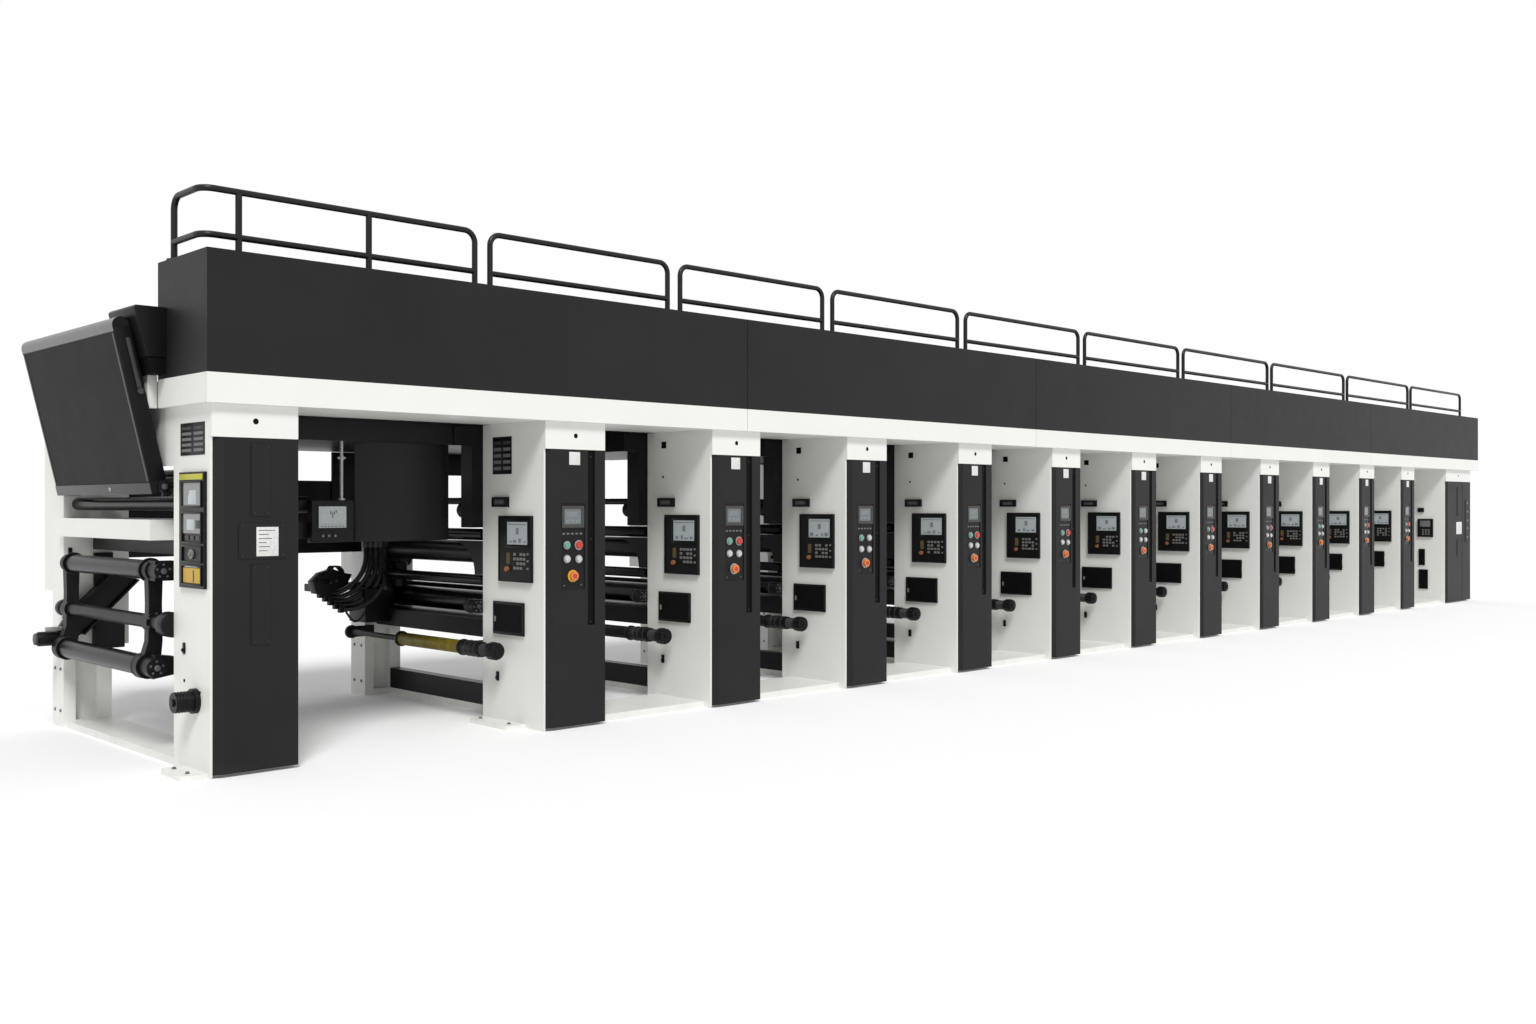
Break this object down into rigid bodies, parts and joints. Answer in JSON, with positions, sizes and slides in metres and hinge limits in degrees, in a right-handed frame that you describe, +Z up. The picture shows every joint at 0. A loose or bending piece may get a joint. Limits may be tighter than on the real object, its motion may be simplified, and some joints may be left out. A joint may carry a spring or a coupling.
{
  "type": "film printing machine",
  "caption": "Long rotogravure film press with columns under a dark header, an unwind turret, printing cylinders, control panels and a railed top walkway.",
  "frame": {"origin": "centre of the machine's outline on the floor, at floor level", "axes": "+X along the line from the infeed to the outfeed, -Y towards the operator side, +Z up"},
  "size_m": [21.9666, 3.065, 3.515],
  "materials": {
    "white_paint": "satin",
    "dark_paint": "satin",
    "black_paint": "satin",
    "roller_rubber": "matte",
    "roller_black": "semi-gloss",
    "cylinder_steel": "ground",
    "ink_yellow": "matte",
    "panel_plastic": "matte",
    "hose_rubber": "matte"
  },
  "bodies": {
    "machine_frame": {"infeed_housing": "white_paint", "infeed_cover": "dark_paint", "outfeed_housing": "white_paint", "outfeed_cover": "dark_paint", "unit_housings": "white_paint", "unit_covers": "dark_paint", "rear_frames": "white_paint", "rear_gear_covers": "white_paint", "sole_plates": "white_paint", "floor_plates": "white_paint", "tie_beams": "black_paint", "header_fascia": "dark_paint", "header_shell": "dark_paint", "header_beam": "white_paint", "walkway_deck": "dark_paint", "handrails": "black_paint", "infeed_cross_beam": "white_paint", "dryer_hoods": "black_paint", "impression_rollers": "roller_rubber", "guide_rollers": "roller_black", "cylinder_bearings": "black_paint", "ink_rollers": "ink_yellow", "ink_roller_brackets": "black_paint", "ink_pans": "black_paint", "doctor_blades": "black_paint", "frame_gussets": "black_paint", "drive_boxes": "black_paint", "side_control_panels": "panel_plastic", "front_control_panels": "panel_plastic", "side_hatches": "black_paint", "reel_control_panel": "panel_plastic", "turret_bearings": "black_paint", "infeed_tray": "white_paint", "infeed_beam": "black_paint", "infeed_rollers": "roller_black", "panel_brackets": "black_paint", "infeed_end_box": "black_paint", "infeed_end_panel": "white_paint", "curved_cabinet": "dark_paint", "operator_screen_box": "panel_plastic", "hose_bundle": "hose_rubber", "rear_cabinet": "black_paint", "brake_motor": "black_paint"},
    "panel": {"inspection_panel": "dark_paint"},
    "turret": {"unwind_turret": "black_paint"},
    "upper_reel": {"reel_shaft_upper": "roller_black"},
    "lower_reel": {"reel_shaft_lower": "roller_black"},
    "cylinder_01": {"gravure_cylinder_01": "cylinder_steel"},
    "cylinder_02": {"gravure_cylinder_02": "cylinder_steel"},
    "cylinder_03": {"gravure_cylinder_03": "cylinder_steel"},
    "cylinder_04": {"gravure_cylinder_04": "cylinder_steel"},
    "cylinder_05": {"gravure_cylinder_05": "cylinder_steel"},
    "cylinder_06": {"gravure_cylinder_06": "cylinder_steel"},
    "cylinder_07": {"gravure_cylinder_07": "cylinder_steel"},
    "cylinder_08": {"gravure_cylinder_08": "cylinder_steel"},
    "cylinder_09": {"gravure_cylinder_09": "cylinder_steel"},
    "cylinder_10": {"gravure_cylinder_10": "cylinder_steel"},
    "cylinder_11": {"gravure_cylinder_11": "cylinder_steel"}
  },
  "joints": [
    {"name": "inspection_panel_tilt", "type": "hinge", "parent": "machine_frame", "child": "panel", "pos_m": [-10.682, 0.0825, 1.72], "axis": [0, -1, 0], "range_deg": [0, 20]},
    {"name": "turret_spin", "type": "hinge", "parent": "machine_frame", "child": "turret", "pos_m": [-10.662, 0.0945, 0.87], "axis": [0, 1, 0], "continuous": true},
    {"name": "upper_reel_shaft_spin", "type": "hinge", "parent": "turret", "child": "upper_reel", "pos_m": [-10.662, 0.1775, 1.195], "axis": [0, 1, 0], "continuous": true},
    {"name": "lower_reel_shaft_spin", "type": "hinge", "parent": "turret", "child": "lower_reel", "pos_m": [-10.702, 0.1775, 0.595], "axis": [0, 1, 0], "continuous": true},
    {"name": "gravure_cylinder_01_spin", "type": "hinge", "parent": "machine_frame", "child": "cylinder_01", "pos_m": [-8.072, 0.2125, 0.855], "axis": [0, 1, 0], "continuous": true},
    {"name": "gravure_cylinder_02_spin", "type": "hinge", "parent": "machine_frame", "child": "cylinder_02", "pos_m": [-6.476, 0.2125, 0.855], "axis": [0, 1, 0], "continuous": true},
    {"name": "gravure_cylinder_03_spin", "type": "hinge", "parent": "machine_frame", "child": "cylinder_03", "pos_m": [-4.88, 0.2125, 0.855], "axis": [0, 1, 0], "continuous": true},
    {"name": "gravure_cylinder_04_spin", "type": "hinge", "parent": "machine_frame", "child": "cylinder_04", "pos_m": [-3.284, 0.2125, 0.855], "axis": [0, 1, 0], "continuous": true},
    {"name": "gravure_cylinder_05_spin", "type": "hinge", "parent": "machine_frame", "child": "cylinder_05", "pos_m": [-1.688, 0.2125, 0.855], "axis": [0, 1, 0], "continuous": true},
    {"name": "gravure_cylinder_06_spin", "type": "hinge", "parent": "machine_frame", "child": "cylinder_06", "pos_m": [-0.092, 0.2125, 0.855], "axis": [0, 1, 0], "continuous": true},
    {"name": "gravure_cylinder_07_spin", "type": "hinge", "parent": "machine_frame", "child": "cylinder_07", "pos_m": [1.504, 0.2125, 0.855], "axis": [0, 1, 0], "continuous": true},
    {"name": "gravure_cylinder_08_spin", "type": "hinge", "parent": "machine_frame", "child": "cylinder_08", "pos_m": [3.1, 0.2125, 0.855], "axis": [0, 1, 0], "continuous": true},
    {"name": "gravure_cylinder_09_spin", "type": "hinge", "parent": "machine_frame", "child": "cylinder_09", "pos_m": [4.696, 0.2125, 0.855], "axis": [0, 1, 0], "continuous": true},
    {"name": "gravure_cylinder_10_spin", "type": "hinge", "parent": "machine_frame", "child": "cylinder_10", "pos_m": [6.292, 0.2125, 0.855], "axis": [0, 1, 0], "continuous": true},
    {"name": "gravure_cylinder_11_spin", "type": "hinge", "parent": "machine_frame", "child": "cylinder_11", "pos_m": [7.888, 0.2125, 0.855], "axis": [0, 1, 0], "continuous": true}
  ],
  "couplings": [
    {"joint": "gravure_cylinder_02_spin", "follows": "gravure_cylinder_01_spin", "ratio": 1},
    {"joint": "gravure_cylinder_03_spin", "follows": "gravure_cylinder_01_spin", "ratio": 1},
    {"joint": "gravure_cylinder_04_spin", "follows": "gravure_cylinder_01_spin", "ratio": 1},
    {"joint": "gravure_cylinder_05_spin", "follows": "gravure_cylinder_01_spin", "ratio": 1},
    {"joint": "gravure_cylinder_06_spin", "follows": "gravure_cylinder_01_spin", "ratio": 1},
    {"joint": "gravure_cylinder_07_spin", "follows": "gravure_cylinder_01_spin", "ratio": 1},
    {"joint": "gravure_cylinder_08_spin", "follows": "gravure_cylinder_01_spin", "ratio": 1},
    {"joint": "gravure_cylinder_09_spin", "follows": "gravure_cylinder_01_spin", "ratio": 1},
    {"joint": "gravure_cylinder_10_spin", "follows": "gravure_cylinder_01_spin", "ratio": 1},
    {"joint": "gravure_cylinder_11_spin", "follows": "gravure_cylinder_01_spin", "ratio": 1}
  ]
}
